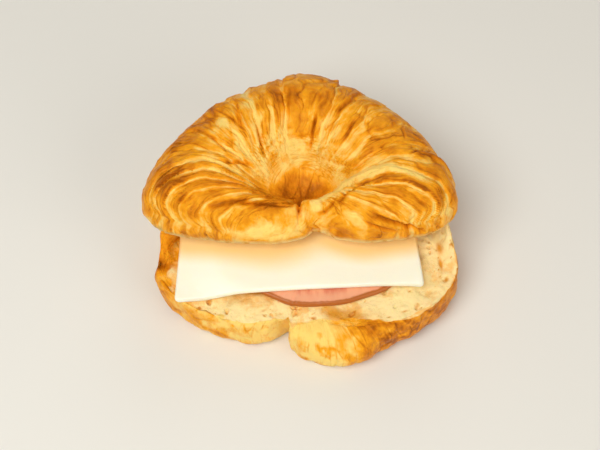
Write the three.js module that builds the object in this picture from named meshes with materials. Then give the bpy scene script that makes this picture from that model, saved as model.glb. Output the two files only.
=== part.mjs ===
// A ham and cheese croissant: the sliced lower half, an oval ham slice, a cheese slice and the upper half,
// set back on the filling with its front edge a little raised.
// Millimetres, +Z up. +Y points to the back of the croissant, away from the mouth where the filling shows.
// The origin is on the resting face, below the point where the two curled horns meet.
import * as THREE from "three";

const rad = THREE.MathUtils.degToRad;

// Lower half.
const BASE = {
  halfWidth: 59.5,
  back: 56,
  frontLeft: 29.5, // how far each horn reaches in front of the widest line
  frontRight: 33.5,
  tipBulge: { at: rad(296), width: rad(17), depth: 4 }, // the right horn's blunt tip
  meeting: rad(254), // where the left horn ends against the right one
  meetingStep: rad(3.5),
  leftNotch: { at: rad(254), width: rad(16), depth: 10 },
  rightNotch: { at: rad(254), width: rad(10), depth: 5 },
  dish: 20.5, // height of the soft crumb that the filling presses down
  rimFront: 18.5,
  bellyHeight: 7, // height at which the wall reaches furthest out
  footShare: 0.84, // the flat underside, as a share of the outline
};

// The lower half's cut face: its outline lies inside the belly's, and its rim rises behind the filling.
const CUT = {
  inset: 1,
  shoulderInset: 2.5,
  leftTip: { at: rad(235), width: rad(30), depth: 1.5 }, // crust left whole on the low horn tips
  rightTip: { at: rad(289), width: rad(32), depth: 11.5 },
  bridge: { at: rad(250), width: rad(9), depth: 7 }, // crumb that spans the notch between the horns
  rampFront: -4, // the rim starts to rise here and meets the upper half at rampBack
  rampBack: 18,
  fallShare: 0.55, // from this share of the way out the front falls to rimFront
  riseShare: 0.9, // from this share of the way out the back rises
};

// Upper half, in its own frame: its cut face is at z = 0 and the pit between the horns at x = y = 0.
const LID = {
  halfWidth: 61,
  back: 54,
  front: 19,
  cleft: { at: 10, width: 9, depth: 5.5 }, // the lip steps back between the two horn tips
  pit: 7,
  crownBack: 29,
  crownSide: 23,
  crownFront: 11,
  ridgeBack: 0.6, // where the crown lies, as a share of the outline
  ridgeFront: 0.5,
  edgeHeight: 3, // where the outer wall stands vertical
  arch: 1.6, // how far the crumb hangs below the cut edge
  centre: [-3, 21, 31.2],
  tilt: rad(4),
};

// Edges of the dough's wraps over the arch of the upper half, as angles round the pit.
const WRAP_EDGES = [196, 172, 150, 128, 107, 76, 55, 34, 10, -16].map(rad);
const WRAP_HEIGHT = 1.5;
const WRAP_ROUNDNESS = 0.6;

const HAM = { halfLength: 37.5, halfDepth: 32, power: 2.3, thick: 2.2, centre: [4.5, 13.5] };
// Corners of the halved cheese slice, from the front left one round to the back left one.
const CHEESE = {
  corners: [
    [-51, -15.5],
    [45, -10],
    [41, 25],
    [-50, 15],
  ],
  thick: 2.8,
};
// The cheese falls from the ham to the crumb over this band, in shares of the ham's own radius.
const DRAPE = { from: 1.15, to: 1.5, lift: 0.2 };
const GAP = 0.3; // between pieces that rest on each other

const AROUND = 88; // points round each half

const smooth = (a, b, x) => {
  const t = Math.min(1, Math.max(0, (x - a) / (b - a)));
  return t * t * (3 - 2 * t);
};
const mix = (a, b, t) => a + (b - a) * t;
const bell = (x, { at, width, depth }) => depth * Math.exp(-(((x - at) / width) ** 2));
const fullTurn = (angle) => ((angle % (2 * Math.PI)) + 2 * Math.PI) % (2 * Math.PI);

const planar = (angle, radius, z) => [radius * Math.cos(angle), radius * Math.sin(angle), z];

// Distance from the centre to a superellipse with half axes a and b.
function superellipse(angle, a, b, power) {
  const along = Math.abs(Math.cos(angle) / a) ** power;
  const across = Math.abs(Math.sin(angle) / b) ** power;
  return (along + across) ** (-1 / power);
}

// A closed skin from a pole at the top, through rings of points, to a pole underneath.
function closedSkin(top, rings, bottom) {
  const around = rings[0].length;
  const points = [top, ...rings.flat(), bottom];
  const faces = [];
  const at = (ring, i) => 1 + ring * around + (i % around);
  for (let i = 0; i < around; i++) {
    faces.push(0, at(0, i), at(0, i + 1));
    for (let r = 0; r + 1 < rings.length; r++) {
      faces.push(at(r, i), at(r + 1, i), at(r + 1, i + 1));
      faces.push(at(r, i), at(r + 1, i + 1), at(r, i + 1));
    }
    faces.push(points.length - 1, at(rings.length - 1, i + 1), at(rings.length - 1, i));
  }
  const geometry = new THREE.BufferGeometry();
  geometry.setAttribute("position", new THREE.Float32BufferAttribute(points.flat(), 3));
  geometry.setIndex(faces);
  geometry.computeVertexNormals();
  return geometry;
}

const ringOf = (pointAt, around = AROUND) =>
  Array.from({ length: around }, (_, i) => pointAt((2 * Math.PI * i) / around));

const steps = (count, from, to) =>
  Array.from({ length: count }, (_, i) => from + ((to - from) * (i + 1)) / count);

// ---- Lower half ----

// Outline of the belly, seen from above. The right horn runs past the left one at the front.
function baseOutline(angle) {
  const a = fullTurn(angle);
  if (a < Math.PI) return superellipse(a, BASE.halfWidth, BASE.back, 2);
  const { tipBulge, leftNotch, rightNotch, meeting, meetingStep } = BASE;
  const left = superellipse(a, BASE.halfWidth, BASE.frontLeft, 1.8) - bell(a, leftNotch);
  const right = superellipse(a, BASE.halfWidth, BASE.frontRight, 1.8) + bell(a, tipBulge) - bell(a, rightNotch);
  return mix(left, right, smooth(meeting - meetingStep, meeting + meetingStep, a));
}

// Outline of the cut face. It stops short of the belly where the low horn tips keep their crust.
function cutOutline(angle) {
  const a = fullTurn(angle);
  const tips = bell(a, CUT.leftTip) + bell(a, CUT.rightTip) - bell(a, CUT.bridge);
  const shoulder = CUT.shoulderInset * smooth(CUT.rampFront, CUT.rampBack, BASE.back * Math.sin(a));
  return baseOutline(a) - CUT.inset - tips - shoulder;
}

// Height of the upper half's cut face above a point of the table.
function lidUnderside(x, y) {
  const [fromX, fromY] = [x - LID.centre[0], y - LID.centre[1]];
  const share = Math.min(1, Math.hypot(fromX, fromY) / lidOutline(Math.atan2(fromY, fromX)));
  return LID.centre[2] - fromY * Math.tan(LID.tilt) - LID.arch * (1 - share ** 2);
}

// Height of the cut face: pressed down in the middle, with a rim that the upper half rests on behind.
function cutHeight(share, angle) {
  const reach = cutOutline(angle);
  const behind = smooth(CUT.rampFront, CUT.rampBack, reach * Math.sin(angle));
  const ceiling = lidUnderside(reach * Math.cos(angle), reach * Math.sin(angle));
  const fall = mix(BASE.rimFront - BASE.dish, 0, behind) * smooth(CUT.fallShare, 1, share);
  const rise = (ceiling - 2 * GAP - BASE.dish) * behind * smooth(CUT.riseShare, 1, share);
  return BASE.dish + fall + rise;
}

// How far the cut face at a point lies above or below its dished middle.
function crumbSag(x, y) {
  const angle = Math.atan2(y, x);
  return cutHeight(Math.min(1, Math.hypot(x, y) / cutOutline(angle)), angle) - BASE.dish;
}

function lowerHalf() {
  const face = [0.3, 0.55, 0.75, 0.86, 0.91, 0.96, 1].map((share) =>
    ringOf((a) => planar(a, cutOutline(a) * share, cutHeight(share, a))),
  );
  const wall = steps(4, 0, 1).map((t) =>
    ringOf((a) => {
      const turn = (t * Math.PI) / 2;
      const radius = mix(cutOutline(a), baseOutline(a), Math.sin(turn));
      return planar(a, radius, mix(BASE.bellyHeight, cutHeight(1, a), Math.cos(turn)));
    }),
  );
  const foot = steps(3, 0, 1).map((t) =>
    ringOf((a) => {
      const turn = (t * Math.PI) / 2;
      const radius = baseOutline(a) * mix(BASE.footShare, 1, Math.cos(turn));
      return planar(a, radius, BASE.bellyHeight * (1 - Math.sin(turn)));
    }),
  );
  return closedSkin([0, 0, BASE.dish], [...face, ...wall, ...foot], [0, 0, 0]);
}

// ---- Upper half ----

function lidOutline(angle) {
  const a = fullTurn(angle);
  if (a < Math.PI) return superellipse(a, LID.halfWidth, LID.back, 1.65);
  const lip = superellipse(a, LID.halfWidth, LID.front, 3);
  return lip - bell(lip * Math.cos(a), LID.cleft);
}

// How far the wraps of dough stand out: each is a puffed band between two edges.
function wrapRelief(angle) {
  const a = fullTurn(angle + Math.PI / 2);
  const edges = WRAP_EDGES.map((e) => fullTurn(e + Math.PI / 2)).sort((p, q) => p - q);
  const next = edges.findIndex((e) => e > a);
  if (next <= 0) return 0;
  const share = (a - edges[next - 1]) / (edges[next] - edges[next - 1]);
  return WRAP_HEIGHT * (Math.sin(Math.PI * share) ** WRAP_ROUNDNESS - 0.5);
}

// The crown's height and its place climb from the lip, round the sides, to the back of the arch.
const climb = (angle) => smooth(-0.95, 0, Math.sin(angle));
const crownShare = (angle) => mix(LID.ridgeFront, LID.ridgeBack, climb(angle));
function lidCrown(angle) {
  const shoulder = mix(LID.crownFront, LID.crownSide, climb(angle));
  return mix(shoulder, LID.crownBack, smooth(0.2, 0.95, Math.sin(angle)));
}

function upperHalf() {
  const inner = steps(8, 0, 1).map((t) =>
    ringOf((a) => {
      const rise = (0.5 - 0.5 * Math.cos(Math.PI * t)) ** 0.9;
      const relief = wrapRelief(a) * smooth(0.2, 0.7, t);
      const radius = lidOutline(a) * crownShare(a) * t;
      return planar(a, radius, mix(LID.pit, lidCrown(a), rise) + relief);
    }),
  );
  const outer = steps(7, 0, 1).map((t) =>
    ringOf((a) => {
      const turn = (t * Math.PI) / 2;
      const relief = wrapRelief(a) * (1 - 0.5 * t);
      const radius = lidOutline(a) * mix(crownShare(a), 1, Math.sin(turn));
      const z = mix(LID.edgeHeight, lidCrown(a), Math.cos(turn) ** 0.9);
      return planar(a, radius + relief * Math.sin(turn), z + relief * Math.cos(turn));
    }),
  );
  const under = [0.97, 0.9, 0.75, 0.5, 0.25].map((share) =>
    ringOf((a) => planar(a, lidOutline(a) * share, share > 0.95 ? 0 : -LID.arch * (1 - share ** 2))),
  );
  return closedSkin([0, 0, LID.pit], [...inner, ...outer, ...under], [0, 0, -LID.arch]);
}

// ---- Filling ----

// A flat slice with a rounded edge, from its outline's points.
function slice(outline, thick, sag) {
  const edge = 0.35 * thick;
  const ring = (inset, z) =>
    outline.map(([x, y]) => {
      const length = Math.hypot(x, y);
      const share = (length - inset) / length;
      return [x * share, y * share, z + sag(x * share, y * share)];
    });
  const scaled = (share, z) =>
    outline.map(([x, y]) => [x * share, y * share, z + sag(x * share, y * share)]);
  const over = [0.3, 0.6, 0.85].map((share) => scaled(share, thick));
  const under = [0.85, 0.6, 0.3].map((share) => scaled(share, 0));
  const side = [ring(edge, thick), ring(0, thick - edge), ring(0, edge), ring(edge, 0)];
  return closedSkin([0, 0, thick + sag(0, 0)], [...over, ...side, ...under], [0, 0, sag(0, 0)]);
}

const ovalOutline = ({ halfLength, halfDepth, power }, count) =>
  ringOf((a) => planar(a, superellipse(a, halfLength, halfDepth, power), 0), count);

function polygonOutline(corners, perSide) {
  return corners.flatMap(([x, y], i) => {
    const [nextX, nextY] = corners[(i + 1) % corners.length];
    return Array.from({ length: perSide }, (_, k) => [mix(x, nextX, k / perSide), mix(y, nextY, k / perSide)]);
  });
}

// The ham follows the crumb.
const hamSag = (x, y) => crumbSag(x + HAM.centre[0], y + HAM.centre[1]);

// The cheese lies on the ham and drapes to the crumb beyond it.
function cheeseSag(x, y) {
  const fromHam = Math.hypot((x - HAM.centre[0]) / HAM.halfLength, (y - HAM.centre[1]) / HAM.halfDepth);
  return crumbSag(x, y) - (HAM.thick + GAP) * smooth(DRAPE.from, DRAPE.to, fromHam) + DRAPE.lift;
}

// ---- Assembly ----

function bakery(color, roughness) {
  return new THREE.MeshStandardMaterial({ color, roughness, metalness: 0 });
}

function named(name, geometry, material) {
  const mesh = new THREE.Mesh(geometry, material);
  mesh.name = name;
  return mesh;
}

const croissant = new THREE.Group();

const lower = named("croissant_bottom", lowerHalf(), bakery("#dd9a3c", 0.6));

const ham = named("ham_slice", slice(ovalOutline(HAM, 48), HAM.thick, hamSag), bakery("#e08c74", 0.4));
ham.position.set(...HAM.centre, BASE.dish + GAP);

const cheeseShape = slice(polygonOutline(CHEESE.corners, 10), CHEESE.thick, cheeseSag);
const cheese = named("cheese_slice", cheeseShape, bakery("#fdf0b8", 0.35));
cheese.position.z = BASE.dish + HAM.thick + 2 * GAP;

const upper = named("croissant_top", upperHalf(), bakery("#d98a2b", 0.5));
upper.position.set(...LID.centre);
upper.rotation.x = -LID.tilt;

croissant.add(lower, ham, cheese, upper);

export default croissant;
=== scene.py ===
# A sliced croissant with a ham slice and a cheese slice between its halves.
import math

import bpy
import numpy as np
from bpy.props import FloatProperty, FloatVectorProperty, IntProperty, PointerProperty
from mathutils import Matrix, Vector


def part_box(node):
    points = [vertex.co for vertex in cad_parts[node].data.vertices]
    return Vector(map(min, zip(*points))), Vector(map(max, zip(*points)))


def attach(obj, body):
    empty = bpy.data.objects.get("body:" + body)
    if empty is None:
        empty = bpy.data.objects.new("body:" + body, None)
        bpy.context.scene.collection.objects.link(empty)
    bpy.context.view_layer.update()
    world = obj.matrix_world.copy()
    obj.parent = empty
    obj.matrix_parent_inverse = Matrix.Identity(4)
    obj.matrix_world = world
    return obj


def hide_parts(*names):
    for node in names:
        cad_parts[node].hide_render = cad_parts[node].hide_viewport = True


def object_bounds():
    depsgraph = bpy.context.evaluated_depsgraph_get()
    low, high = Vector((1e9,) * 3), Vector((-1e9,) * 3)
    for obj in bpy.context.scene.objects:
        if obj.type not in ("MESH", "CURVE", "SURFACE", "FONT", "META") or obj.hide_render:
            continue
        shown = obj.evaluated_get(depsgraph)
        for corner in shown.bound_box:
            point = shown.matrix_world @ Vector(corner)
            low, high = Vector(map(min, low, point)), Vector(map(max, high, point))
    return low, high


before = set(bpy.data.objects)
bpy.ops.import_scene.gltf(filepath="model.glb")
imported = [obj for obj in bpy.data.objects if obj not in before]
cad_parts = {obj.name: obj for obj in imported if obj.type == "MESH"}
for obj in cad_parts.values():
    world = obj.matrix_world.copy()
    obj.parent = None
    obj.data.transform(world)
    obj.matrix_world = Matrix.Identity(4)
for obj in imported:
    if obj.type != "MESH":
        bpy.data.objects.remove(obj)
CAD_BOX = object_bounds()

bl_info = {
    "name": "Ham and cheese croissant",
    "version": (1, 0, 0),
    "blender": (4, 5, 0),
    "location": "3D View > Sidebar > Croissant",
    "description": "Builds a filled croissant in four pieces, with baked crust and open crumb",
    "category": "Add Mesh",
}

MM = 0.001
TOP_LOW, TOP_HIGH = (np.array(corner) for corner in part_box("croissant_top"))
BOTTOM_LOW, BOTTOM_HIGH = (np.array(corner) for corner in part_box("croissant_bottom"))
HAM_LOW, HAM_HIGH = (np.array(corner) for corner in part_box("ham_slice"))

# ---- Sizes and colours -----------------------------------------------------------------------------


def length(name, description, default):
    return FloatProperty(
        name=name, description=description, default=default, min=0.0, unit="LENGTH", precision=5
    )


def tilt(name, description, degrees):
    return FloatProperty(
        name=name, description=description, default=math.radians(degrees), subtype="ANGLE"
    )


def colour(name, description, default):
    return FloatVectorProperty(
        name=name, description=description, default=default, size=3, min=0.0, max=1.0, subtype="COLOR"
    )


class CroissantSizes(bpy.types.PropertyGroup):
    lid_tilt: tilt("Lid tilt", "How far the upper half leans back", 4)
    wrap_height: length("Wrap height", "Step where one wrap of dough ends on the next", 1.5 * MM)
    pleat_height: length("Pleat height", "Height of the fine ridges along each wrap", 0.7 * MM)
    crack_depth: length("Crack depth", "Depth of the splits in the crust", 1.6 * MM)
    flap_height: length("Flap height", "How far the last wrap stands out at the back of the arch", 1.3 * MM)
    ham_thickness: length("Ham thickness", "Thickness of the ham slice", 2.2 * MM)
    cheese_thickness: length("Cheese thickness", "Thickness of the cheese slice", 2.8 * MM)
    cell_radius: length("Air cell radius", "Radius of the largest air cells in the crumb", 2.0 * MM)
    cell_depth: length("Air cell depth", "How deep the air cells go into the crumb", 1.1 * MM)
    cell_density: FloatProperty(
        name="Air cell density",
        description="Air cells on each square metre of crumb",
        default=55000.0,
        min=0.0,
    )
    cell_seed: IntProperty(name="Air cell seed", description="Chooses where the air cells lie", default=7)


class CroissantColours(bpy.types.PropertyGroup):
    cream: colour("Cream", "Dough that a wrap covered until late in the bake", (0.99, 0.68, 0.19))
    gold: colour("Gold", "Most of the crust", (0.92, 0.38, 0.012))
    brown: colour("Brown", "The crests of the wraps", (0.66, 0.205, 0.004))
    # The pit's share of this colour is painted shade.
    dark: colour("Dark", "Cracks and the pit between the horns", (0.36, 0.09, 0.001))
    crumb: colour("Crumb", "The soft inside of the dough", (0.95, 0.56, 0.19))
    crumb_light: colour("Pale crumb", "Where the inside of the dough is palest", (1.0, 0.77, 0.38))
    # The crumb's own darker tone, and painted shade at the bottoms of the air cells and hollows.
    crumb_tone_and_cell_shade: colour("Air cell", "The bottoms of the air cells", (0.72, 0.31, 0.035))
    cheese: colour("Cheese", "The cheese slice", (1.0, 1.0, 0.84))
    # Painted shade: the cheese's colour where the upper half's lip shades it, warmed as by light bounced off
    # the crust.
    cheese_lid_shade: colour("Shaded cheese", "The cheese where it softens under the bread", (0.97, 0.61, 0.19))
    ham: colour("Ham", "The lean of the ham", (0.72, 0.205, 0.115))
    ham_fat: colour("Ham fat", "The pale band inside the ham's edge", (0.86, 0.40, 0.23))
    # Partly the ham's browned edge, partly painted shade where its rounded edge turns down.
    ham_rim_and_shade: colour("Ham rim", "The browned edge of the ham", (0.46, 0.12, 0.010))


class StageSettings(bpy.types.PropertyGroup):
    floor_colour: colour("Floor", "The plain floor", (0.80, 0.79, 0.77))
    elevation: tilt("Elevation", "How steeply the camera looks down", 58)
    distance: length("Distance", "From the camera to the croissant", 450 * MM)
    lens: FloatProperty(name="Lens", description="Focal length in millimetres", default=67.5, min=1.0)


# ---- Shape helpers ---------------------------------------------------------------------------------

NOISE_CELLS = 61  # the noise repeats after this many lumps
GRAIN_RADIUS = 45 * MM  # about the croissant's own radius, so that a turned pattern keeps its scale


def smooth(start, end, x):
    """Rises from 0 at start to 1 at end."""
    t = np.clip((x - start) / (end - start), 0.0, 1.0)
    return t * t * (3.0 - 2.0 * t)


def mix(a, b, t):
    return a + (b - a) * t


def bell(x, width):
    """1 at 0, and nearly 0 two widths away."""
    return np.exp(-((x / width) ** 2))


def superellipse(angle, half_x, half_y, power):
    across = np.abs(np.cos(angle) / half_x) ** power
    along = np.abs(np.sin(angle) / half_y) ** power
    return (across + along) ** (-1.0 / power)


def lumps(points, size, seed):
    """Smooth noise between -1 and 1 with lumps about size across."""
    lattice = np.random.default_rng(seed).uniform(-1, 1, (NOISE_CELLS,) * 3)
    scaled = points / size
    cell = np.floor(scaled).astype(int)
    part = scaled - cell
    part = part * part * (3.0 - 2.0 * part)
    total = np.zeros(points.shape[:-1])
    for corner in np.ndindex(2, 2, 2):
        weight = np.prod(np.where(corner, part, 1.0 - part), axis=-1)
        x, y, z = np.moveaxis((cell + corner) % NOISE_CELLS, -1, 0)
        total += weight * lattice[x, y, z]
    return total


def rough(points, size, seed, octaves=3):
    """Noise with finer lumps added to the coarse ones."""
    return sum(lumps(points, size / 2**k, seed + k) / 2**k for k in range(octaves))


def angle_gap(degrees, other):
    return (degrees - other + 180.0) % 360.0 - 180.0


def patches(angle, place, spots):
    """Adds up soft spots, each an angle and its spread in degrees, a place and its spread, and an amount."""
    degrees = np.degrees(angle)
    total = np.zeros(angle.shape)
    for spot_angle, spread, spot_place, place_spread, amount in spots:
        near = bell(angle_gap(degrees, spot_angle), spread) * bell(place - spot_place, place_spread)
        total = total + amount * near
    return total


def sectors(degrees, spots):
    """Adds up soft sectors, each an angle and its spread in degrees, and an amount."""
    return sum(amount * bell(degrees - spot, spread) for spot, spread, amount in spots)


def polar(radius, angle, height):
    return np.stack([radius * np.cos(angle), radius * np.sin(angle), height + 0.0 * radius], axis=-1)


def outward(grid):
    """Unit normals of a grid of rings, which closes on itself around."""
    down = np.gradient(grid, axis=0)
    wrapped = np.concatenate([grid[:, -1:], grid, grid[:, :1]], axis=1)
    around = wrapped[:, 2:] - wrapped[:, :-2]
    normal = np.cross(down, around)
    return normal / np.maximum(np.linalg.norm(normal, axis=-1, keepdims=True), 1e-12)


def skin(name, top, grid, bottom, attributes):
    """A closed mesh from a pole through rings of points to another pole, with attributes on its points."""
    rings, around = grid.shape[:2]
    points = np.concatenate([[top], grid.reshape(-1, 3), [bottom]])
    index = 1 + np.arange(rings * around).reshape(rings, around)
    beside = np.roll(index, -1, axis=1)
    quads = np.stack([index[:-1], index[1:], beside[1:], beside[:-1]], axis=-1).reshape(-1, 4)
    first = np.stack([np.zeros(around, int), index[0], beside[0]], axis=-1)
    last = np.stack([np.full(around, len(points) - 1), beside[-1], index[-1]], axis=-1)
    mesh = bpy.data.meshes.new(name)
    mesh.from_pydata(points.tolist(), [], first.tolist() + quads.tolist() + last.tolist())
    for key, values in attributes.items():
        rows = values.reshape(rings * around, -1)
        whole = np.concatenate([rows[:around].mean(0)[None], rows, rows[-around:].mean(0)[None]])
        kind, slot = ("FLOAT", "value") if whole.shape[1] == 1 else ("FLOAT_VECTOR", "vector")
        layer = mesh.attributes.new(key, kind, "POINT")
        layer.data.foreach_set(slot, whole.astype(np.float32).ravel())
    mesh.polygons.foreach_set("use_smooth", np.ones(len(mesh.polygons), bool))
    mesh.validate()
    piece = bpy.data.objects.new(name, mesh)
    bpy.context.scene.collection.objects.link(piece)
    return piece


def line_distance(points, line):
    """Distance of each point to a polyline, and how far along it the nearest spot lies, from 0 to 1."""
    nearest = np.full(points.shape[:-1], np.inf)
    place = np.zeros(points.shape[:-1])
    for k in range(len(line) - 1):
        step = line[k + 1] - line[k]
        share = np.clip(((points - line[k]) @ step) / (step @ step), 0.0, 1.0)
        gap = np.linalg.norm(points - line[k] - share[..., None] * step, axis=-1)
        closer = gap < nearest
        nearest = np.where(closer, gap, nearest)
        place = np.where(closer, (k + share) / (len(line) - 1), place)
    return nearest, place


# ---- Materials -------------------------------------------------------------------------------------


class Value:
    """A number in a material's graph: arithmetic on it adds Math nodes."""

    def __init__(self, graph, socket):
        self.graph = graph
        self.socket = socket

    def _math(self, operation, first, second):
        return self.graph.node("ShaderNodeMath", {"operation": operation}, {0: first, 1: second})

    def __add__(self, other):
        return self._math("ADD", self, other)

    def __radd__(self, other):
        return self._math("ADD", other, self)

    def __sub__(self, other):
        return self._math("SUBTRACT", self, other)

    def __rsub__(self, other):
        return self._math("SUBTRACT", other, self)

    def __mul__(self, other):
        return self._math("MULTIPLY", self, other)

    def __rmul__(self, other):
        return self._math("MULTIPLY", other, self)


class Graph:
    """The node graph of one new material."""

    def __init__(self, name):
        self.material = bpy.data.materials.new(name)
        self.material.use_nodes = True
        self.tree = self.material.node_tree
        self.tree.nodes.clear()

    def node(self, kind, settings=None, inputs=None, output=0):
        """Adds a node and returns one of its outputs as a value."""
        made = self.tree.nodes.new(kind)
        for key, value in (settings or {}).items():
            if key == "stops":
                self._set_stops(made.color_ramp, value)
            else:
                setattr(made, key, value)
        for key, value in (inputs or {}).items():
            if isinstance(value, Value):
                self.tree.links.new(value.socket, made.inputs[key])
            else:
                made.inputs[key].default_value = value
        return Value(self, made.outputs[output]) if len(made.outputs) else made

    @staticmethod
    def _set_stops(ramp, stops):
        while len(ramp.elements) < len(stops):
            ramp.elements.new(1.0)
        for element, (place, shade) in zip(ramp.elements, stops):
            element.position = place
            element.color = shade

    def attribute(self, name, output="Fac"):
        return self.node("ShaderNodeAttribute", {"attribute_name": name}, output=output)

    def noise(self, scale, detail=3.0, roughness=0.55, where=None):
        where = where or self.node("ShaderNodeTexCoord", output="Object")
        inputs = {"Vector": where, "Scale": scale, "Detail": detail, "Roughness": roughness}
        return self.node("ShaderNodeTexNoise", inputs=inputs, output="Fac")

    def ramp(self, value, stops):
        """Runs a value through colour stops, given as (place, (r, g, b))."""
        full = [(place, (*shade, 1.0)) for place, shade in stops]
        return self.node("ShaderNodeValToRGB", {"stops": full}, {"Fac": value}, output="Color")

    def limits(self, value, low, high, to_low=0.0, to_high=1.0):
        inputs = {"Value": value, "From Min": low, "From Max": high, "To Min": to_low, "To Max": to_high}
        return self.node("ShaderNodeMapRange", {"interpolation_type": "SMOOTHSTEP"}, inputs)

    def blend(self, factor, first, second):
        """Mixes two colours, each a value or an (r, g, b)."""
        inputs = {0: factor}
        for socket, shade in ((6, first), (7, second)):
            inputs[socket] = shade if isinstance(shade, Value) else (*shade, 1.0)
        return self.node("ShaderNodeMix", {"data_type": "RGBA"}, inputs, output=2)

    def bump(self, height, strength, distance):
        inputs = {"Height": height, "Strength": strength, "Distance": distance}
        return self.node("ShaderNodeBump", inputs=inputs)

    def surface(self, inputs):
        shader = self.node("ShaderNodeBsdfPrincipled", inputs=inputs)
        self.node("ShaderNodeOutputMaterial", inputs={"Surface": shader})
        return self.material


def crust_material(colours):
    """Baked dough: bake runs from pale to dark brown, and crumb and cell turn it into the soft inside, where
    cell darkens the crumb with its own tone and with painted shade in hollows and air cells.
    """
    graph = Graph("baked_dough")
    bake = graph.attribute("bake")
    crumb = graph.attribute("crumb")
    cell = graph.attribute("cell")
    grain = graph.attribute("grain", "Vector")
    fibrous = 1.0 - graph.attribute("smoothness")
    fine = graph.noise(900.0)
    coarse = graph.noise(260.0)
    blisters = graph.noise(1500.0, 2.0)
    torn = graph.noise(620.0, 5.0, 0.65)
    spread = graph.noise(150.0, 4.0, 0.6)
    streaks = graph.noise(520.0, 4.0, 0.65, grain)
    threads = graph.noise(1500.0, 2.0, 0.6, grain)

    # Thin flakes lift along the edges of cells that stretch with the grain, here and there.
    cells = {"Vector": grain, "Scale": 230.0}
    to_edge = graph.node("ShaderNodeTexVoronoi", {"feature": "DISTANCE_TO_EDGE"}, cells, output="Distance")
    flake = graph.limits(to_edge + (coarse - 0.5) * 0.1, 0.0, 0.07, 1.0, 0.0)
    flake = flake * graph.limits(spread, 0.4, 0.6)

    shade = bake + flake * 0.2 + (fine - 0.5) * 0.16 + (coarse - 0.5) * 0.25
    shade = shade + ((streaks - 0.5) * 0.5 + (threads - 0.5) * 0.24) * fibrous
    stops = [
        (0.08, tuple(colours.cream)),
        (0.42, tuple(colours.gold)),
        (0.72, tuple(colours.brown)),
        (1.0, tuple(colours.dark)),
    ]
    crust = graph.ramp(shade, stops)

    paleness = graph.limits(spread + (torn - 0.5) * 0.3 + (0.5 - bake) * 0.5, 0.38, 0.60)
    soft = graph.blend(paleness, tuple(colours.crumb), tuple(colours.crumb_light))
    # Painted shade and the crumb's own tone: cell darkens the crumb towards the air cell colour.
    hollow = graph.limits(cell + (torn - 0.5) * 0.3 + (streaks - 0.5) * 0.4, 0.06, 0.9)
    inside = graph.blend(hollow, soft, tuple(colours.crumb_tone_and_cell_shade))

    baked_relief = fine * 0.4 + coarse * 0.5 + blisters * 0.2 - flake * 0.5
    baked_relief = baked_relief + (streaks * 0.7 + threads * 0.25) * fibrous
    crumb_relief = torn * 1.1 + fine * 0.4 + streaks * 0.6
    relief = baked_relief * (1.0 - crumb) + crumb_relief * crumb
    return graph.surface(
        {
            "Base Color": graph.blend(crumb, crust, inside),
            "Roughness": graph.limits(crumb + (fine - 0.5) * 0.2, 0.0, 1.0, 0.45, 0.85),
            "Normal": graph.bump(relief, 0.6, 0.7 * MM),
            "Subsurface Weight": 0.2,
            "Subsurface Radius": (0.030, 0.012, 0.004),
            "Specular IOR Level": 0.25,
            "Specular Tint": (1.0, 0.72, 0.32, 1.0),
        }
    )


def baked_dough(context):
    """The crust and crumb of both halves, made once."""
    made = bpy.data.materials.get("baked_dough")
    return made or crust_material(context.scene.croissant_colours)


def cheese_material(colours):
    """Pale cheese with a soft sheen, and painted orange shade where the upper half's lip hangs over it."""
    graph = Graph("cheese")
    warmth = graph.attribute("warmth")
    faint = graph.noise(60.0, 2.0)
    fine = graph.noise(700.0, 2.0)
    lid_shade_amount = warmth + (faint - 0.5) * 0.12
    return graph.surface(
        {
            "Base Color": graph.blend(lid_shade_amount, tuple(colours.cheese), tuple(colours.cheese_lid_shade)),
            "Roughness": graph.limits(fine, 0.3, 0.7, 0.36, 0.46),
            "Normal": graph.bump(fine, 0.12, 0.3 * MM),
            "Subsurface Weight": 0.25,
            "Subsurface Radius": (0.05, 0.04, 0.02),
        }
    )


def ham_material(colours):
    """Lean ham with paler veins, a band of fat near its edge, and a rim drawn darker, partly browned and
    partly painted shade where the edge turns down.
    """
    graph = Graph("ham")
    edge = graph.attribute("edge")
    fibres = graph.attribute("grain", "Vector")
    mottle = graph.noise(260.0, 4.0, 0.6, fibres)
    vein = graph.noise(420.0, 4.0)
    lean = graph.blend(graph.limits(mottle, 0.42, 0.62), tuple(colours.ham), tuple(colours.ham_fat))
    fat = graph.limits(edge + (mottle - 0.5) * 0.1, 0.80, 0.90) * 0.85
    body = graph.blend(fat, lean, tuple(colours.ham_fat))
    # Painted shade and browning: the ham's rounded edge is drawn darker.
    rim = graph.limits(edge + (vein - 0.5) * 0.03, 0.945, 0.97)
    return graph.surface(
        {
            "Base Color": graph.blend(rim, body, tuple(colours.ham_rim_and_shade)),
            "Roughness": graph.limits(vein, 0.3, 0.7, 0.3, 0.45),
            "Normal": graph.bump(vein, 0.35, 0.4 * MM),
            "Subsurface Weight": 0.15,
            "Subsurface Radius": (0.03, 0.012, 0.006),
        }
    )


def finish_piece(piece, material, node):
    """Gives a piece its material and its place in the frame."""
    piece.data.materials.clear()
    piece.data.materials.append(material)
    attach(piece, "root")
    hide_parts(node)


# ---- Upper half ------------------------------------------------------------------------------------

LID_AROUND = 720  # points round the upper half
LID_PLACES = np.concatenate([np.linspace(0.04, 1.0, 50), np.linspace(1.0, 2.0, 59)[1:]])
UNDER_SHARES = np.linspace(0.985, 0.08, 14)

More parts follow.
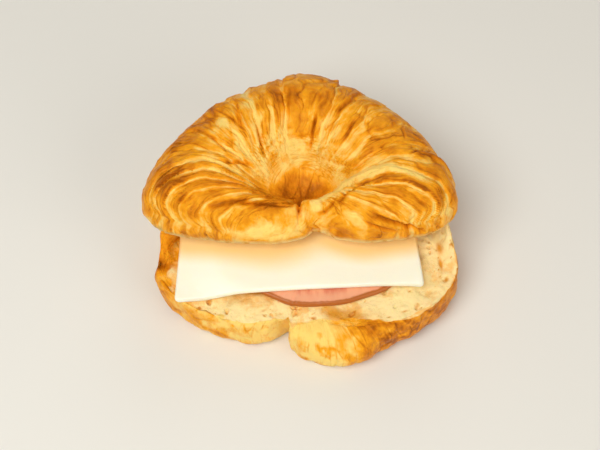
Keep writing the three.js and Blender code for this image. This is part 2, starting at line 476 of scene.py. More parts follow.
LID_WIDTH, LID_DEPTH = (TOP_HIGH - TOP_LOW)[:2]
LID_REACH = 0.497 * LID_WIDTH
LID_BACK = 0.74 * LID_DEPTH
LID_FRONT = 0.26 * LID_DEPTH
CLEFT_PLACE, CLEFT_WIDTH, CLEFT_DEPTH = 10 * MM, 9 * MM, 5.5 * MM  # the lip steps back between the horn tips
LIP_POWER, ARCH_POWER = 3.0, 1.65  # how square the rim's outline is at the lip and behind it
PIT = 5 * MM  # height of the pit's floor
CROWN_BACK, CROWN_SIDE, CROWN_FRONT = 29 * MM, 23 * MM, 11 * MM  # heights of the crown
CROWN_SHARE_FRONT, CROWN_SHARE_BACK = 0.5, 0.6  # how far out the crown lies
EDGE_HEIGHT = 3 * MM  # how thick the rim is
ARCH = 1.6 * MM  # how far the underside rises over the filling

# Edges of the dough's wraps: angles in degrees round the pit near it, on the crown and on the rim, and how
# strongly the wrap stands out. They run from the right horn's tip, over the arch, to the left horn's tip.
WRAP_EDGES = [
    (-44, -47, -70, 0.5),
    (-36, -34, -31, 0.6),
    (-31, -25, -24, 0.6),
    (-26, -17, -19, 1.0),
    (-22, -9, -14, 1.5),
    (-2, 1, -8, 0.5),
    (5, 10, 7, 0.25),
    (14, 18, 19, 0.3),
    (25, 29, 31, 0.25),
    (39, 42, 45, 0.45),
    (55, 57, 58, 0.4),
    (64, 67, 75, 0.0),
    (104, 100, 95, 0.6),
    (119, 111, 106, 0.45),
    (139, 123, 118, 0.6),
    (147, 134, 128, 0.4),
    (154, 143, 139, 0.5),
    (163, 157, 153, 0.4),
    (172, 165, 168, 0.5),
    (181, 173, 187, 1.3),
    (187, 180, 191, 0.8),
    (192, 186, 195, 1.0),
    (198, 192, 199, 0.8),
    (206, 199, 204, 0.8),
    (219, 207, 210, 0.5),
    (242, 224, 217, 0.0),
]
EDGE_PLACES = (0.5, 1.0, 1.7)  # where those three angles hold: 0 is the pit, 1 the crown and 2 the rim
EDGE_LIMITS = (0.45, 1.78)  # nearer the pit and the rim than this, the edges run straight on
FLAP = 11  # the wrap that covers all others starts at this edge
CREASE_SPREAD = 8 * MM  # width that each wrap's creases are laid out on

# Lines in the crust: points as (angle in degrees, place), width, depth share and how much darker they are
# baked. Those with a depth share below 0 are ridges of pale dough, and the rest are splits.
PIT_RIDGE = [
    (306, 1.3), (308, 0.95), (322, 0.66), (344, 0.42), (360, 0.48),
    (361.5, 0.7), (361, 0.9), (357, 1.15), (354, 1.4),
]
LINES = [
    (PIT_RIDGE, 1.6 * MM, -0.7, -0.6),
    ([(192, 0.5), (184, 0.54), (178, 0.64), (174.5, 0.83), (173, 1.04), (175, 1.25)], 1.1 * MM, -0.4, -0.4),
    ([(143, 0.56), (148, 0.5), (159, 0.4), (180, 0.32)], 1.1 * MM, -0.3, -0.3),
    ([(322, 1.08), (328, 0.98), (337, 0.78), (350, 0.73), (356, 0.9), (356.5, 1.0)], 1.0 * MM, 0.9, 0.45),
    ([(75.5, 1.0), (74.5, 0.72), (74.5, 0.46)], 0.5 * MM, 1.0, 0.42),
    ([(56, 1.15), (58, 0.95), (57.5, 0.66)], 0.8 * MM, 1.1, 0.42),
    ([(44, 0.9), (41, 0.78), (40, 0.68)], 0.6 * MM, 0.8, 0.35),
    ([(32, 1.5), (27, 1.32), (20, 1.25)], 0.4 * MM, 0.6, 0.3),
    ([(20, 1.6), (14, 1.4), (11, 1.2)], 0.4 * MM, 0.6, 0.3),
    ([(128, 0.86), (134, 0.68), (144, 0.52)], 0.6 * MM, 0.8, 0.4),
    ([(130, 1.2), (137, 1.0), (143, 0.8)], 0.7 * MM, 0.9, 0.4),
    ([(139, 1.32), (140, 1.05), (142, 0.86)], 0.7 * MM, 0.9, 0.4),
    ([(153, 1.34), (157, 1.05), (161, 0.86)], 0.6 * MM, 0.7, 0.4),
    ([(172, 0.8), (165, 0.68), (160, 0.56)], 0.7 * MM, 0.8, 0.4),
    ([(-28, 1.42), (-26, 1.6), (-22, 1.82), (-18, 1.97)], 0.8 * MM, 1.3, 0.5),
    ([(-34, 1.5), (-30, 1.68), (-25, 1.88)], 0.5 * MM, 0.7, 0.3),
    ([(-28, 0.78), (-40, 1.05), (-50, 1.28), (-60, 1.42)], 0.6 * MM, 0.8, 0.4),
    ([(200, 1.4), (205, 1.16), (214, 1.05), (237, 0.92), (258, 0.9)], 1.0 * MM, 1.0, 0.5),
    ([(268, 0.6), (269, 1.1), (270, 1.6)], 0.7 * MM, 1.0, 0.35),
]
LINE_WANDER = 0.5 * MM
LINE_LIP = 0.3 * MM  # how far the dough beside a line stands up

# The pit runs forward under the two lobes of the lip: its angle and spread in degrees, depth and painted
# shade.
FORWARD_ANGLE, FORWARD_SPREAD = 271.0, 36.0
FORWARD_DEPTH, FORWARD_SHADE = 1.6 * MM, 0.5

LID_BAKE = 0.40  # the crust's bake before its marks
# Painted shade: the bottom of the pit is drawn darker.
PIT_SHADE = 0.52  # how much darker the bottom of the pit is


def lid_outline(angle):
    """How far the upper half's rim lies from its pit."""
    turn = angle % (2 * np.pi)
    lip = superellipse(turn, LID_REACH, LID_FRONT, LIP_POWER)
    lip = lip - CLEFT_DEPTH * bell(lip * np.cos(turn) - CLEFT_PLACE, CLEFT_WIDTH)
    return np.where(turn < np.pi, superellipse(turn, LID_REACH, LID_BACK, ARCH_POWER), lip)


def lid_surface(angle, place):
    """The smooth upper half in its own frame: place is 0 at the pit, 1 on the crown, 2 at the rim."""
    climb = smooth(-0.95, 0.0, np.sin(angle))
    crown = mix(mix(CROWN_FRONT, CROWN_SIDE, climb), CROWN_BACK, smooth(0.2, 0.95, np.sin(angle)))
    crown_share = mix(CROWN_SHARE_FRONT, CROWN_SHARE_BACK, climb)
    inner = np.clip(place, 0.0, 1.0)
    turn = np.clip(place - 1.0, 0.0, 1.0) * np.pi / 2
    rise = (0.5 - 0.5 * np.cos(np.pi * inner)) ** 0.9
    height = np.where(place < 1, mix(PIT, crown, rise), mix(EDGE_HEIGHT, crown, np.cos(turn) ** 0.9))
    share = np.where(place < 1, crown_share * inner, mix(crown_share, 1.0, np.sin(turn)))
    return polar(lid_outline(angle) * share, angle, height)


def curve(x, places, values):
    """The parabola through three values at three places."""
    a, b, c = places
    first = (x - b) * (x - c) / ((a - b) * (a - c))
    second = (x - a) * (x - c) / ((b - a) * (b - c))
    return values[0] * first + values[1] * second + values[2] * (1.0 - first - second)


def wrap_place(angle, place):
    """Which wrap each point lies on, as a number that passes a whole one at each wrap's edge."""
    degrees = (np.degrees(angle) + 90.0) % 360.0 - 90.0
    wraps = np.zeros(angle.shape)
    order = np.arange(len(WRAP_EDGES) + 1)
    for row in range(angle.shape[0]):
        here = np.clip(place[row, 0], *EDGE_LIMITS)
        edges = [curve(here, EDGE_PLACES, edge[:3]) for edge in WRAP_EDGES]
        known = np.array(edges + [edges[0] + 360.0])
        turned = np.where(degrees[row] < known[0], degrees[row] + 360.0, degrees[row])
        wraps[row] = np.interp(turned, known, order)
    return wraps


def place_on_lid(points, sizes):
    """Moves points from the upper half's own frame into the croissant's."""
    lean = sizes.lid_tilt
    x, y, z = np.moveaxis(points, -1, 0)
    centre_x = 0.5 * (TOP_LOW[0] + TOP_HIGH[0])
    centre_y = TOP_LOW[1] + LID_FRONT
    centre_z = TOP_LOW[2] + LID_BACK * math.tan(lean)
    turned_y = y * math.cos(lean) + z * math.sin(lean)
    turned_z = z * math.cos(lean) - y * math.sin(lean)
    return np.stack([x + centre_x, turned_y + centre_y, turned_z + centre_z], axis=-1)


# Where the crust is darker, or paler below 0: angle and spread in degrees, place and spread, amount. The
# paler one at 92 degrees, on the pit's back slope, is painted light where that slope faces the light.
BAKE_AND_LIGHT_PATCHES = [
    (162, 18, 1.45, 0.45, 0.22),
    (22, 26, 1.4, 0.4, 0.2),
    (88, 28, 1.45, 0.3, 0.08),
    (148, 18, 0.75, 0.25, -0.3),
    (120, 14, 0.6, 0.3, -0.24),
    (176, 7, 1.1, 0.4, -0.1),
    (92, 32, 0.46, 0.17, -0.36),
    (50, 18, 0.62, 0.24, -0.24),
    (2, 6, 0.85, 0.3, -0.12),
    (336, 13, 0.66, 0.24, -0.44),
    (228, 20, 1.15, 0.12, 0.14),
    (238, 24, 1.75, 0.24, -0.46),
    (270, 9, 1.6, 0.4, -0.3),
    (208, 7, 1.92, 0.12, 0.24),
    (315, 16, 1.85, 0.14, 0.2),
    (346, 6, 1.72, 0.2, -0.28),
    (96, 8, 0.9, 0.16, 0.26),
    (102, 5, 1.1, 0.25, 0.2),
    (128, 7, 0.95, 0.3, -0.16),
    (182, 9, 1.35, 0.25, 0.12),
    (62, 6, 0.75, 0.25, -0.16),
]

# Where the stretched dough shows no fibres: angle and spread in degrees, place and spread, amount.
SMOOTH_SLOPES = [
    (200, 14, 0.80, 0.26, 0.9),
    (174, 18, 0.56, 0.20, 0.95),
]

# Where the crust swells, or sinks below 0: angle and spread in degrees, place and spread, height.
SWELLINGS = [
    (236, 24, 1.1, 0.25, 1.0 * MM),
    (300, 24, 1.1, 0.25, 1.0 * MM),
    (269, 5, 1.0, 0.5, -1.4 * MM),
    (238, 30, 1.6, 0.3, 0.8 * MM),
    (318, 14, 1.5, 0.3, 0.9 * MM),
    (336, 9, 0.7, 0.3, 0.6 * MM),
]


def lid_line(points):
    """A polyline on the smooth upper half, from points as (angle in degrees, place)."""
    return np.array([lid_surface(np.radians(float(degrees)), np.float64(place)) for degrees, place in points])


def wrap_shares(angle, place, ragged):
    """Which wrap each point lies on, its share of the way round that wrap, and its share of the way down.

    The share down is 0 beside the wrap that covers this one, and 1 at this wrap's own free edge.
    """
    wraps = wrap_place(angle, place) + ragged * smooth(0.3, 0.9, place)
    number = np.floor(wraps).astype(int) % (len(WRAP_EDGES) + 1)
    share = wraps - np.floor(wraps)
    return wraps, number, share, np.where(number > FLAP, share, 1.0 - share)


def crease_marks(base, place, wraps):
    """Fine creases and folds that run along the wraps, and wander."""
    radius = np.linalg.norm(base[..., :2], axis=-1)
    width = CREASE_SPREAD * smooth(0.0, 0.7, place)
    flat = 0.0 * radius
    along = np.stack([wraps * width, 0.28 * radius, flat], axis=-1)
    wander = [rough(base, 7 * MM, seed=21, octaves=2), rough(base, 7 * MM, seed=24, octaves=2), flat]
    along = along + 0.9 * MM * np.stack(wander, axis=-1)
    crease = bell(rough(along, 3.4 * MM, seed=33, octaves=2), 0.13)
    return crease, rough(along, 2.2 * MM, seed=37)


def flap_mark(base, place, number, share):
    """1 on the last wrap, which stands out from the arch and ends bluntly on the pit's slope."""
    end = smooth(0.555, 0.60, place + 0.03 * rough(base, 6 * MM, seed=41))
    sides = smooth(0.0, 0.06, share) * (1.0 - smooth(0.94, 1.0, share))
    return np.where(number == FLAP, end * sides, 0.0)


def draw_lines(base, ragged, raised, bake, crack_depth):
    """Adds the ridges and splits to the crust's relief and bake."""
    for points, width, depth, darker in LINES:
        gap, reached = line_distance(base + LINE_WANDER * ragged[..., None], lid_line(points))
        taper = np.sqrt(np.clip(4.0 * reached * (1.0 - reached), 0.02, 1.0))
        near = bell(gap, width) * taper
        lips = LINE_LIP * bell(gap - 2.2 * width, width) * taper
        raised = raised - crack_depth * depth * near + lips
        bake = bake + darker * near
    return raised, bake


def lid_grain(base, place, wraps):
    """Coordinates that change slowly along the wraps, so that a pattern on them stretches that way."""
    turned = wraps * (2 * np.pi / len(WRAP_EDGES))
    wander = np.stack([lumps(base, 8 * MM, seed=seed) for seed in (85, 86, 87)], axis=-1)
    threaded = polar(GRAIN_RADIUS + 0.0 * turned, turned, 6 * MM * place) + 1.2 * MM * wander
    return mix(base * (0.9, 0.25, 0.25), threaded, smooth(0.3, 0.6, place)[..., None])


def lid_relief(angle, place, base, sizes):
    """How far the crust stands out, how dark it is baked, with painted shade in the pit and painted light on
    its back slope, the way its grain runs, and how smooth it is.
    """
    ragged = 0.18 * rough(base, 9 * MM, seed=11, octaves=2) + 0.045 * rough(base, 3 * MM, seed=15, octaves=2)
    wraps, number, share, down = wrap_shares(angle, place, ragged)
    strength = np.array([edge[3] for edge in WRAP_EDGES] + [0.0])[number]
    calm = 1.0 - 0.9 * bell(line_distance(base, lid_line(PIT_RIDGE))[0], 3.2 * MM)
    reach = smooth(0.3, 0.75, place) * mix(1.0, 0.35, smooth(1.3, 1.9, place)) * calm
    slopes = np.clip(patches(angle, place, SMOOTH_SLOPES), 0.0, 1.0)

    crest = smooth(0.02, 0.7, down) * (1.0 - smooth(0.94, 1.0, down))
    steps = sizes.wrap_height * strength * (crest - 0.45)
    crease, fold = crease_marks(base, place, wraps)
    front = number >= len(WRAP_EDGES) - 1
    presence = smooth(-0.5, 0.4, rough(base, 12 * MM, seed=31)) * np.where(front, 0.35, 1.0)
    presence = presence * smooth(0.25, 0.6, place) * calm * (1.0 - slopes)
    crease, fold = crease * presence, fold * presence
    flap = flap_mark(base, place, number, share)

    raised = steps * reach + sizes.flap_height * flap + sizes.pleat_height * (0.9 * fold - 0.8 * crease)
    raised = raised + 0.5 * MM * rough(base, 12 * MM, seed=51) + 0.15 * MM * rough(base, 2.5 * MM, seed=61)
    raised = raised + patches(angle, place, SWELLINGS)

    # Dough stays cream where a wrap covered it, and browns along each wrap's free edge.
    fade = mix(0.2, 1.0, smooth(-0.6, 0.4, rough(base, 11 * MM, seed=65)))
    wide = 0.36 + 0.16 * rough(base, 9 * MM, seed=68, octaves=2)
    trough = smooth(0.0, 0.09, down) * (1.0 - smooth(0.06, wide, down)) * strength * reach * fade
    trough = trough * (1.0 + 0.6 * rough(base, 3.5 * MM, seed=63, octaves=2))
    edge_line = bell(down - 0.96, 0.06) * strength * reach * fade
    bake = LID_BAKE + reach * 0.34 * (crest - 0.4) * strength + 0.26 * crease + 0.20 * fold
    bake = bake - 0.52 * trough + 0.26 * edge_line
    bake = bake + 0.16 * rough(base, 10 * MM, seed=71) + 0.14 * rough(base, 3 * MM, seed=81) + 0.08 * flap
    # Painted shade: the bottom of the pit is darkened.
    bake = bake + PIT_SHADE * (1.0 - smooth(0.10, 0.36, place))

    forward = bell(angle_gap(np.degrees(angle), FORWARD_ANGLE), FORWARD_SPREAD)
    forward = forward * smooth(0.1, 0.3, place) * (1.0 - smooth(0.72, 0.86, place))
    raised = raised - FORWARD_DEPTH * forward
    # Painted shade in the pit's run forward under the lobes, and painted light on the pit's back slope.
    bake = bake + FORWARD_SHADE * forward + patches(angle, place, BAKE_AND_LIGHT_PATCHES)
    raised, bake = draw_lines(base, ragged, raised, bake, sizes.crack_depth)
    return raised, np.clip(bake, 0.0, 1.0), lid_grain(base, place, wraps), slopes


class CROISSANT_OT_upper_half(bpy.types.Operator):
    """Adds the upper half: the baked arch of wrapped dough with the pit between its two horns"""

    bl_idname = "croissant.upper_half"
    bl_label = "Upper half"

    def execute(self, context):
        sizes = context.scene.croissant_sizes
        turn = np.linspace(0.0, 2 * np.pi, LID_AROUND, endpoint=False)
        place, angle = np.meshgrid(LID_PLACES, turn, indexing="ij")
        base = lid_surface(angle, place)
        raised, bake, grain, slopes = lid_relief(angle, place, base, sizes)
        top = base + outward(base) * raised[..., None]

        share, under_angle = np.meshgrid(UNDER_SHARES, turn, indexing="ij")
        rim = np.linalg.norm(top[-1, :, :2], axis=-1)
        under = polar(rim * share, under_angle, -ARCH * (1.0 - share**2) * smooth(1.0, 0.9, share))
        under[..., 2] += 0.3 * MM * rough(under, 5 * MM, seed=91)
        under[..., 2] += 0.25 * EDGE_HEIGHT * smooth(0.96, 1.0, share)
        poles = place_on_lid(np.array([[0.0, 0.0, PIT], [0.0, 0.0, -ARCH]]), sizes)
        under_cells = np.clip(rough(under, 2.5 * MM, seed=95), 0.0, 1.0)
        attributes = {
            "bake": np.concatenate([bake, 0.3 + 0.0 * share]),
            "crumb": np.concatenate([0.0 * bake, np.ones(share.shape)]),
            "cell": np.concatenate([0.0 * bake, under_cells]),
            "grain": np.concatenate([grain, under]),
            "smoothness": np.concatenate([slopes, 0.0 * share]),
        }
        grid = place_on_lid(np.concatenate([top, under]), sizes)
        piece = skin("upper_half", poles[0], grid, poles[1], attributes)
        finish_piece(piece, baked_dough(context), "croissant_top")
        return {"FINISHED"}


# ---- Lower half ------------------------------------------------------------------------------------

LOWER_AROUND = 640  # points round the lower half
FACE_SHARES = np.concatenate([np.linspace(0.08, 0.5, 8), np.linspace(0.52, 1.0, 68)])
WALL_TURNS = np.linspace(0.0, np.pi / 2, 41)[1:]
FOOT_TURNS = np.linspace(0.0, np.pi / 2, 19)[1:]
SOLE_SHARES = np.linspace(0.8, 0.08, 8)
FACE_ROWS = len(FACE_SHARES)
ROW_COUNTS = [FACE_ROWS, len(WALL_TURNS), len(FOOT_TURNS), len(SOLE_SHARES)]
ON_CRUST = np.repeat([0.0, 1.0, 1.0, 0.0], ROW_COUNTS)[:, None]
# How far out each ring lies: up to 1 on the cut face, then up to 2 down the wall.
RING_PLACES = np.concatenate([FACE_SHARES, 1.0 + WALL_TURNS / (np.pi / 2), np.full(sum(ROW_COUNTS[2:]), 2.0)])

BELLY_REACH = 0.5 * (BOTTOM_HIGH[0] - BOTTOM_LOW[0])
BELLY_BACK = BOTTOM_HIGH[1]
HORN_LEFT, HORN_RIGHT = 29.5 * MM, 33.5 * MM  # how far forward each horn reaches
HORN_POWER, BACK_POWER = 1.8, 2.0  # how square the outline is at the horns and behind them
TIP_ANGLE, TIP_WIDTH, TIP_BULGE = 296.0, 17.0, 4 * MM
MEETING, MEETING_STEP = 254.0, 3.5  # where the left horn ends against the right one
LEFT_NOTCH_WIDTH, LEFT_NOTCH_DEPTH = 16.0, 10 * MM
RIGHT_NOTCH_WIDTH, RIGHT_NOTCH_DEPTH = 10.0, 5 * MM
DISH = 20.5 * MM  # height of the cut face under the filling
RIM_FRONT = 18.5 * MM  # height of the cut's edge at the front
BELLY_HEIGHT = 7 * MM  # height at which the wall is widest
FOOT_SHARE = 0.84  # how far out the flat sole reaches
RAMP_FRONT, RAMP_BACK = -4 * MM, 18 * MM  # the rim climbs to the upper half between these distances
RIM_CLEARANCE = 0.6 * MM  # left open between the rim and the upper half

# How far the cut stays back from the wall all round, behind, and at the front, where below 0 it reaches on:
# angle and spread in degrees, distance.
CUT_INSET = 1 * MM
SHOULDER_INSET = 2.5 * MM
FRONT_INSETS = [
    (235, 30, 1.5 * MM),
    (289, 32, 11.5 * MM),
    (250, 9, -7 * MM),
]

# Where the wall swells, or sinks below 0: angle and spread in degrees, height and spread, amount, and how
# much darker it is; the sunken hole at 179.5 degrees is made darker as painted shade.
KNOBS = [
    (169, 5, 27 * MM, 3 * MM, 1.6 * MM, -0.1),
    (170, 6.5, 15 * MM, 8 * MM, -3.4 * MM, 0.0),
    (182, 4, 14 * MM, 6 * MM, 0.8 * MM, 0.0),
    (179.5, 1.4, 20.5 * MM, 1.4 * MM, -1.6 * MM, 0.6),
    (186, 6, 16 * MM, 5 * MM, 0.8 * MM, 0.0),
]

# Larger hollows in the crumb, drawn darker as painted shade; painted shade on the crumb under the edges of
# the ham and cheese; and its palest parts: angle and spread in degrees, share of the way out and spread,
# amount.
CRUMB_HOLLOWS = [
    (9, 2.6, 0.925, 0.018, 0.8),
    (2, 3.2, 0.905, 0.014, 0.9),
    (355, 2.0, 0.95, 0.014, 0.7),
    (347, 2.4, 0.90, 0.02, 0.5),
    (333, 2.0, 0.93, 0.02, 0.6),
    (187, 1.6, 0.985, 0.03, 1.0),
    (229, 2.5, 0.80, 0.03, 0.4),
    (243, 3.0, 0.88, 0.03, 0.5),
    (206, 12, 0.54, 0.07, 0.9),
    (244, 13, 0.56, 0.06, 0.6),
    (285, 16, 0.62, 0.05, 0.5),
]
HOLLOW_DEPTH = 0.7 * MM
CRUMB_CONTACT_SHADE = [
    (302, 16, 0.84, 0.14, 0.99),
    (216, 14, 0.68, 0.12, 0.45),
]
PALE_CRUMB = [
    (14, 10, 0.95, 0.10, 1.0),
    (331, 9, 0.90, 0.12, 1.0),
    (350, 12, 0.80, 0.12, 0.4),
    (222, 20, 0.92, 0.12, 0.4),
]

# The crumb covers the cut up to this share of the way out. In places it stops short, or reaches over the
# wall: angle and spread in degrees, amount. The last one is the one before it, a full turn further on.
CRUMB_REACH = 0.97
CRUMB_REACHES = [
    (222, 24, 0.04),
    (172, 12, -0.10),
    (306, 13, -0.10),
    (336, 9, 0.30),
    (12, 11, 0.32),
    (372, 11, 0.32),
]
RAGGED_EDGE = (218, 26)  # angle and spread in degrees

# Parts of the wall: angle and spread in degrees, and for the pale tips an amount.
PALE_TIPS = [(279, 20, 1.0), (240, 20, 1.0)]
MOTTLED_HORN = (212, 18)
SPECKLED_HORN = (325, 20)
WALL_WRAP = 13.0  # degrees from one wrap on the wall to the next

CELL_SIZES, CELL_POWER = (0.3, 1.0), 2.2  # a random size, and the power that makes most of the cells small
CELL_RAGGED, CELL_RAGGED_SCALE = 2.2 * MM, 420.0
CELL_STRETCH = 0.8  # added to 1, how many times longer a cell is around than outwards
CELL_MARGIN = 0.1 * MM
CELL_DROP = 1.6  # depth of the largest cells, as a share of the cell depth


def belly_outline(angle):
    """How far the lower half's wall lies from its middle, where it is widest."""
    turn = angle % (2 * np.pi)
    degrees = np.degrees(turn)
    left_notch = LEFT_NOTCH_DEPTH * bell(degrees - MEETING, LEFT_NOTCH_WIDTH)
    right_notch = RIGHT_NOTCH_DEPTH * bell(degrees - MEETING, RIGHT_NOTCH_WIDTH)
    tip = TIP_BULGE * bell(degrees - TIP_ANGLE, TIP_WIDTH)
    left = superellipse(turn, BELLY_REACH, HORN_LEFT, HORN_POWER) - left_notch
    right = superellipse(turn, BELLY_REACH, HORN_RIGHT, HORN_POWER) + tip - right_notch
    front = mix(left, right, smooth(MEETING - MEETING_STEP, MEETING + MEETING_STEP, degrees))
    return np.where(turn < np.pi, superellipse(turn, BELLY_REACH, BELLY_BACK, BACK_POWER), front)


def cut_outline(angle):
    """How far the edge of the cut lies from the middle."""
    turn = angle % (2 * np.pi)
    tips = sectors(np.degrees(turn), FRONT_INSETS)
    shoulder = SHOULDER_INSET * smooth(RAMP_FRONT, RAMP_BACK, BELLY_BACK * np.sin(turn))
    return belly_outline(turn) - CUT_INSET - tips - shoulder


def lid_underside(x, y, sizes):
    """Height of the upper half's underside."""
    from_x = x - 0.5 * (TOP_LOW[0] + TOP_HIGH[0])
    from_y = y - TOP_LOW[1] - LID_FRONT
    share = np.minimum(1.0, np.hypot(from_x, from_y) / lid_outline(np.arctan2(from_y, from_x)))
    flat = TOP_LOW[2] + (LID_BACK - from_y) * math.tan(sizes.lid_tilt)
    return flat - ARCH * (1.0 - share**2)


def cut_height(share, angle, sizes):
    """Height of the cut face: dished under the filling, with a rim that the upper half rests on behind."""
    reach = cut_outline(angle)
    behind = smooth(RAMP_FRONT, RAMP_BACK, reach * np.sin(angle))
    ceiling = lid_underside(reach * np.cos(angle), reach * np.sin(angle), sizes)
    fall = (RIM_FRONT - DISH) * (1.0 - behind) * smooth(0.55, 1.0, share)
    rise = (ceiling - RIM_CLEARANCE - DISH) * behind * smooth(0.9, 1.0, share)
    return DISH + fall + rise


def crumb_sag(x, y, sizes):
    """How far the cut face lies above or below its dished middle."""
    angle = np.arctan2(y, x)
    share = np.minimum(1.0, np.hypot(x, y) / cut_outline(angle))
    return cut_height(share, angle, sizes) - DISH


def air_cell_tree():
    """Geometry nodes that press round air cells into the crumb, where the crumb attribute is set, and darken
    them with painted shade by their depth.
    """
    tree = bpy.data.node_groups.new("air_cells", "GeometryNodeTree")
    sockets = {}
    for name, kind in (
        ("Geometry", "NodeSocketGeometry"),
        ("Density", "NodeSocketFloat"),
        ("Radius", "NodeSocketFloat"),
        ("Depth", "NodeSocketFloat"),
        ("Seed", "NodeSocketInt"),
        ("Material", "NodeSocketMaterial"),
    ):
        sockets[name] = tree.interface.new_socket(name=name, in_out="INPUT", socket_type=kind).identifier
    tree.interface.new_socket(name="Geometry", in_out="OUTPUT", socket_type="NodeSocketGeometry")

    def add(kind, settings=None, inputs=None):
        node = tree.nodes.new(kind)
        for key, value in (settings or {}).items():
            setattr(node, key, value)
        for key, value in (inputs or {}).items():
            if isinstance(value, bpy.types.NodeSocket):
                tree.links.new(value, node.inputs[key])
            else:
                node.inputs[key].default_value = value
        return node

    def maths(operation, first, second=0.0, clamp=False):
        node = add("ShaderNodeMath", {"operation": operation, "use_clamp": clamp}, {0: first, 1: second})
        return node.outputs[0]

    def vector(operation, first, second=None, scale=None, output="Vector"):
        given_inputs = {0: first, 1: second, "Scale": scale}
        used = {key: value for key, value in given_inputs.items() if value is not None}
        return add("ShaderNodeVectorMath", {"operation": operation}, used).outputs[output]

    def number(name):
        read = add("GeometryNodeInputNamedAttribute", {"data_type": "FLOAT"}, {"Name": name})
        return read.outputs["Attribute"]

    def store(geometry, name, value):
        settings = {"data_type": "FLOAT", "domain": "POINT"}
        inputs = {"Geometry": geometry, "Name": name, "Value": value}
        return add("GeometryNodeStoreNamedAttribute", settings, inputs).outputs[0]

    def sample(kind, value, index):
        settings = {"data_type": kind, "domain": "POINT"}
        inputs = {"Geometry": points, "Value": value, "Index": index}
        return add("GeometryNodeSampleIndex", settings, inputs).outputs[0]

    # Points on the crumb are the middles of the cells, and most of the cells are small.
    given = add("NodeGroupInput").outputs
    crumb = number("crumb")
    where = add("GeometryNodeInputPosition").outputs[0]
    normal = add("GeometryNodeInputNormal").outputs["Normal"]
    spread = add(
        "GeometryNodeDistributePointsOnFaces",
        {"distribute_method": "RANDOM"},
        {
            "Mesh": given["Geometry"],
            "Selection": maths("GREATER_THAN", crumb, 0.5),
            "Density": given["Density"],
            "Seed": given["Seed"],
        },
    )
    chance_inputs = {2: CELL_SIZES[0], 3: CELL_SIZES[1], "Seed": given["Seed"]}
    chance = add("FunctionNodeRandomValue", {"data_type": "FLOAT"}, chance_inputs).outputs[1]
    size = maths("MULTIPLY", maths("POWER", chance, CELL_POWER), given["Radius"])
    points = store(spread.outputs["Points"], "cell_radius", size)

    # Each spot of the crumb sinks by its distance from the nearest middle, stretched around and made uneven.
    nearest_inputs = {"Geometry": points, "Sample Position": where}
    nearest = add("GeometryNodeSampleNearest", {"domain": "POINT"}, nearest_inputs).outputs[0]
    centre = sample("FLOAT_VECTOR", where, nearest)
    radius = sample("FLOAT", number("cell_radius"), nearest)
    noise_inputs = {"Vector": where, "Scale": CELL_RAGGED_SCALE, "Detail": 2.0}
    wander = add("ShaderNodeTexNoise", inputs=noise_inputs).outputs["Color"]
    wander = vector("SUBTRACT", wander, (0.5, 0.5, 0.5))
    apart = vector("ADD", vector("SUBTRACT", where, centre), vector("SCALE", wander, scale=CELL_RAGGED))
    radial = vector("NORMALIZE", vector("MULTIPLY", where, (1.0, 1.0, 0.0)))
    across = vector("DOT_PRODUCT", apart, radial, output="Value")
    apart = vector("ADD", apart, vector("SCALE", radial, scale=maths("MULTIPLY", across, CELL_STRETCH)))
    gap = vector("LENGTH", apart, output="Value")
    near = maths("DIVIDE", gap, maths("ADD", radius, CELL_MARGIN))
    hollow = maths("SUBTRACT", 1.0, maths("POWER", near, 2.0), clamp=True)
    hollow = maths("MULTIPLY", hollow, crumb)
    size_share = maths("DIVIDE", radius, given["Radius"])
    deepest = maths("MULTIPLY", size_share, -CELL_DROP)
    drop = maths("MULTIPLY", maths("MULTIPLY", hollow, given["Depth"]), deepest)
    offset = vector("SCALE", normal, scale=drop)
    pressed = add("GeometryNodeSetPosition", inputs={"Geometry": given["Geometry"], "Offset": offset})
    # Painted shade: each pressed cell is stored darker the deeper it is.
    marked = store(pressed.outputs[0], "cell", maths("ADD", number("cell"), hollow, clamp=True))
    real = add("GeometryNodeRealizeInstances", inputs={"Geometry": marked}).outputs[0]
    finished_inputs = {"Geometry": real, "Material": given["Material"]}
    finished = add("GeometryNodeSetMaterial", inputs=finished_inputs).outputs[0]
    add("NodeGroupOutput", inputs={"Geometry": finished})
    return tree, sockets


def press_air_cells(piece, sizes, material):
    """Runs the air cell nodes on a piece and keeps their result as a plain mesh."""
    tree, sockets = air_cell_tree()
    modifier = piece.modifiers.new("air_cells", "NODES")
    modifier.node_group = tree
    modifier[sockets["Density"]] = sizes.cell_density
    modifier[sockets["Radius"]] = sizes.cell_radius
    modifier[sockets["Depth"]] = sizes.cell_depth
    modifier[sockets["Seed"]] = sizes.cell_seed
    modifier[sockets["Material"]] = material
    bpy.context.view_layer.update()
    evaluated = piece.evaluated_get(bpy.context.evaluated_depsgraph_get())
    pressed = bpy.data.meshes.new_from_object(evaluated)
    piece.modifiers.remove(modifier)
    plain = piece.data
    piece.data = pressed
    bpy.data.meshes.remove(plain)
    bpy.data.node_groups.remove(tree)
    pressed.name = piece.name


def cut_face(angle, share, sizes):
    """The cut side, folded and hollowed where the dough tore."""
    face = polar(cut_outline(angle) * share, angle, cut_height(share, angle, sizes))
    folds = 0.7 * MM * rough(face, 9 * MM, seed=101, octaves=2)
    folds = folds + 0.35 * MM * (1.0 - 2.0 * np.abs(rough(face, 5 * MM, seed=105)))
    face[..., 2] += folds * smooth(0.5, 0.8, share) - HOLLOW_DEPTH * patches(angle, share, CRUMB_HOLLOWS)
    return face


